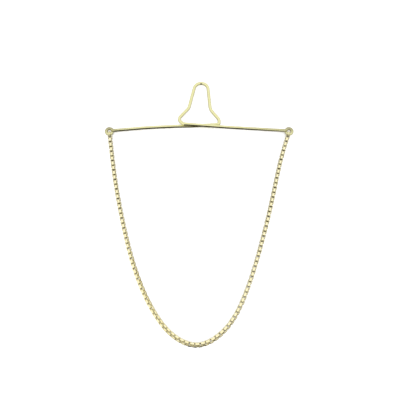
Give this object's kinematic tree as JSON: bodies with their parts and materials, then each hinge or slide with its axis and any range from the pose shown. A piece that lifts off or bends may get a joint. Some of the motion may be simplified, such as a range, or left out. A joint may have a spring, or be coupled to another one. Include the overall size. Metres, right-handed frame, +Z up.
{
  "type": "tie chain",
  "caption": "Tie chain: a gold-coloured spring-wire bar with a bell-shaped button loop and curled eyes, a jump ring in each eye, and a fine box chain hung in a curve between them.",
  "frame": {"origin": "on the surface that it lies on, under the middle of its outline", "axes": "+X along the bar, +Y from the chain's lowest point towards the top of the button loop, +Z up from the surface"},
  "size_m": [0.0634, 0.0893, 0.0023],
  "materials": {
    "bar_wire_gold": "polished gold plate",
    "jump_ring_gold": "polished gold plate",
    "chain_gold": "polished gold plate"
  },
  "bodies": {
    "bar": {"bar_wire": "bar_wire_gold"},
    "jump_rings": {"jump_ring_left": "jump_ring_gold", "jump_ring_right": "jump_ring_gold"},
    "chain_band_1": {"chain_left_01": "chain_gold", "chain_left_02": "chain_gold", "chain_right_01": "chain_gold", "chain_right_02": "chain_gold"},
    "chain_band_2": {"chain_left_03": "chain_gold", "chain_left_04": "chain_gold", "chain_right_03": "chain_gold", "chain_right_04": "chain_gold"},
    "chain_band_3": {"chain_left_05": "chain_gold", "chain_left_06": "chain_gold", "chain_right_05": "chain_gold", "chain_right_06": "chain_gold"},
    "chain_band_4": {"chain_left_07": "chain_gold", "chain_left_08": "chain_gold", "chain_right_07": "chain_gold", "chain_right_08": "chain_gold"},
    "chain_band_5": {"chain_left_09": "chain_gold", "chain_left_10": "chain_gold", "chain_right_09": "chain_gold", "chain_right_10": "chain_gold"},
    "chain_band_6": {"chain_left_11": "chain_gold", "chain_left_12": "chain_gold", "chain_right_11": "chain_gold", "chain_right_12": "chain_gold"},
    "chain_band_7": {"chain_left_13": "chain_gold", "chain_left_14": "chain_gold", "chain_right_13": "chain_gold", "chain_right_14": "chain_gold"},
    "chain_band_8": {"chain_left_15": "chain_gold", "chain_left_16": "chain_gold", "chain_right_15": "chain_gold", "chain_right_16": "chain_gold"},
    "chain_band_9": {"chain_left_17": "chain_gold", "chain_left_18": "chain_gold", "chain_right_17": "chain_gold", "chain_right_18": "chain_gold"},
    "chain_band_10": {"chain_left_19": "chain_gold", "chain_left_20": "chain_gold", "chain_right_19": "chain_gold", "chain_right_20": "chain_gold"},
    "chain_bottom": {"chain_left_21": "chain_gold", "chain_left_22": "chain_gold", "chain_left_23": "chain_gold", "chain_right_21": "chain_gold", "chain_right_22": "chain_gold", "chain_right_23": "chain_gold"}
  },
  "joints": [
    {"name": "ring_swing", "type": "hinge", "parent": "bar", "child": "jump_rings", "pos_m": [-0.00007, 0.02457, 0.00114], "axis": [1, 0.0005, 0], "range_deg": [-45, 45]},
    {"name": "chain_swing", "type": "hinge", "parent": "jump_rings", "child": "chain_band_1", "pos_m": [-0.00008, 0.02438, 0.00114], "axis": [1, 0.0006, 0], "range_deg": [-25, 25]},
    {"name": "chain_fold_1", "type": "hinge", "parent": "chain_band_1", "child": "chain_band_2", "pos_m": [-0.00068, 0.01718, 0.00068], "axis": [1, 0.0055, 0], "range_deg": [-14, 14]},
    {"name": "chain_fold_2", "type": "hinge", "parent": "chain_band_2", "child": "chain_band_3", "pos_m": [-0.00101, 0.01062, 0.00068], "axis": [1, 0.0084, 0], "range_deg": [-14, 14]},
    {"name": "chain_fold_3", "type": "hinge", "parent": "chain_band_3", "child": "chain_band_4", "pos_m": [-0.00116, 0.00406, 0.00068], "axis": [0.9999, 0.0102, -0.0001], "range_deg": [-14, 14]},
    {"name": "chain_fold_4", "type": "hinge", "parent": "chain_band_4", "child": "chain_band_5", "pos_m": [-0.00125, -0.00248, 0.00069], "axis": [0.9999, 0.0117, -0.0004], "range_deg": [-14, 14]},
    {"name": "chain_fold_5", "type": "hinge", "parent": "chain_band_5", "child": "chain_band_6", "pos_m": [-0.00133, -0.00899, 0.0007], "axis": [0.9999, 0.0136, -0.0008], "range_deg": [-14, 14]},
    {"name": "chain_fold_6", "type": "hinge", "parent": "chain_band_6", "child": "chain_band_7", "pos_m": [-0.00137, -0.01545, 0.00071], "axis": [0.9999, 0.0153, -0.0014], "range_deg": [-14, 14]},
    {"name": "chain_fold_7", "type": "hinge", "parent": "chain_band_7", "child": "chain_band_8", "pos_m": [-0.00132, -0.02183, 0.00072], "axis": [0.9999, 0.0162, -0.0017], "range_deg": [-14, 14]},
    {"name": "chain_fold_8", "type": "hinge", "parent": "chain_band_8", "child": "chain_band_9", "pos_m": [-0.00119, -0.02807, 0.00073], "axis": [0.9999, 0.0153, -0.0015], "range_deg": [-14, 14]},
    {"name": "chain_fold_9", "type": "hinge", "parent": "chain_band_9", "child": "chain_band_10", "pos_m": [-0.00098, -0.03407, 0.00073], "axis": [0.9999, 0.0107, -0.0004], "range_deg": [-12, 12]},
    {"name": "chain_fold_10", "type": "hinge", "parent": "chain_band_10", "child": "chain_bottom", "pos_m": [-0.00089, -0.03944, 0.00073], "axis": [1, 0.0088, 0.0015], "range_deg": [-10, 10]}
  ]
}
